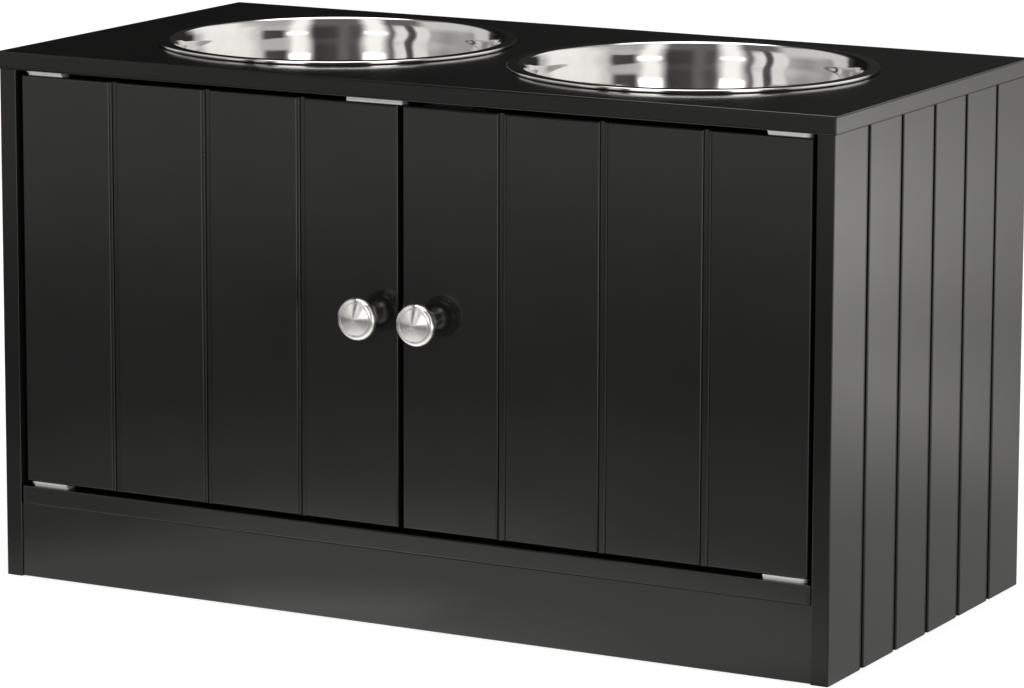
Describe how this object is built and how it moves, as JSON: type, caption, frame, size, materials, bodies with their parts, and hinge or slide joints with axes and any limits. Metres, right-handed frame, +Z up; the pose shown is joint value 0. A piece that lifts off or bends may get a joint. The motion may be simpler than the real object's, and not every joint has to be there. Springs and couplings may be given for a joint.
{
  "type": "elevated dog feeder with storage",
  "caption": "Free-standing black storage cabinet whose top board holds sunk steel feeding bowls, with bead-and-groove doors on flat pivot hinges.",
  "frame": {"origin": "on the floor, in the middle of the footprint from the knobs' faces to the top board's rear edge", "axes": "+X along the front towards the right door, +Y from the doors to the back, +Z up"},
  "size_m": [0.6, 0.32, 0.3524],
  "materials": {
    "black_board": "satin black paint",
    "black_back": "matt black paint",
    "bowl_steel": "polished stainless",
    "knob_metal": "turned, satin",
    "hinge_steel": "bright plated",
    "catch_steel": "bright plated",
    "screw_steel": "zinc plated",
    "cam_zinc": "die cast",
    "dowel_wood": "plain beech",
    "catch_plastic": "moulded",
    "magnet": "sintered"
  },
  "bodies": {
    "cabinet": {"top_board": "black_board", "left_side_panel": "black_board", "right_side_panel": "black_board", "bottom_shelf": "black_board", "front_plinth": "black_board", "back_panel": "black_back", "top_cam_locks": "cam_zinc", "top_cam_bolts": "screw_steel", "shelf_cam_locks": "cam_zinc", "shelf_cam_bolts": "screw_steel", "top_dowels": "dowel_wood", "shelf_dowels": "dowel_wood", "plinth_dowels": "dowel_wood", "left_top_hinge_cabinet_leaf": "hinge_steel", "right_top_hinge_cabinet_leaf": "hinge_steel", "left_bottom_hinge_cabinet_leaf": "hinge_steel", "right_bottom_hinge_cabinet_leaf": "hinge_steel", "top_hinge_pins": "hinge_steel", "cabinet_leaf_screws": "screw_steel", "left_catch_plate": "catch_steel", "left_catch_plate_screws": "screw_steel", "right_catch_housing": "catch_plastic", "right_catch_magnet": "magnet", "right_catch_pole_plates": "catch_steel", "right_catch_screws": "screw_steel"},
    "left_door": {"left_door": "black_board", "left_knob": "knob_metal", "left_knob_screw": "screw_steel", "left_top_hinge_door_leaf": "hinge_steel", "left_bottom_hinge_door_leaf": "hinge_steel", "left_bottom_hinge_pin": "hinge_steel", "left_door_leaf_screws": "screw_steel", "left_strike_plate": "catch_steel", "left_strike_plate_screws": "screw_steel"},
    "right_door": {"right_door": "black_board", "right_knob": "knob_metal", "right_knob_screw": "screw_steel", "right_top_hinge_door_leaf": "hinge_steel", "right_bottom_hinge_door_leaf": "hinge_steel", "right_bottom_hinge_pin": "hinge_steel", "right_door_leaf_screws": "screw_steel", "right_strike_plate": "catch_steel", "right_strike_plate_screw": "screw_steel"},
    "left_bowl": {"left_bowl": "bowl_steel"},
    "right_bowl": {"right_bowl": "bowl_steel"}
  },
  "joints": [
    {"name": "left_door_hinge", "type": "hinge", "parent": "cabinet", "child": "left_door", "pos_m": [-0.277, -0.131, 0.2], "axis": [0, 0, -1], "range_deg": [0, 110]},
    {"name": "right_door_hinge", "type": "hinge", "parent": "cabinet", "child": "right_door", "pos_m": [0.277, -0.131, 0.2], "axis": [0, 0, 1], "range_deg": [0, 110]},
    {"name": "left_bowl_lift", "type": "slide", "parent": "cabinet", "child": "left_bowl", "axis": [0, 0, 1], "range_m": [0, 0.08]},
    {"name": "right_bowl_lift", "type": "slide", "parent": "cabinet", "child": "right_bowl", "axis": [0, 0, 1], "range_m": [0, 0.08]}
  ]
}
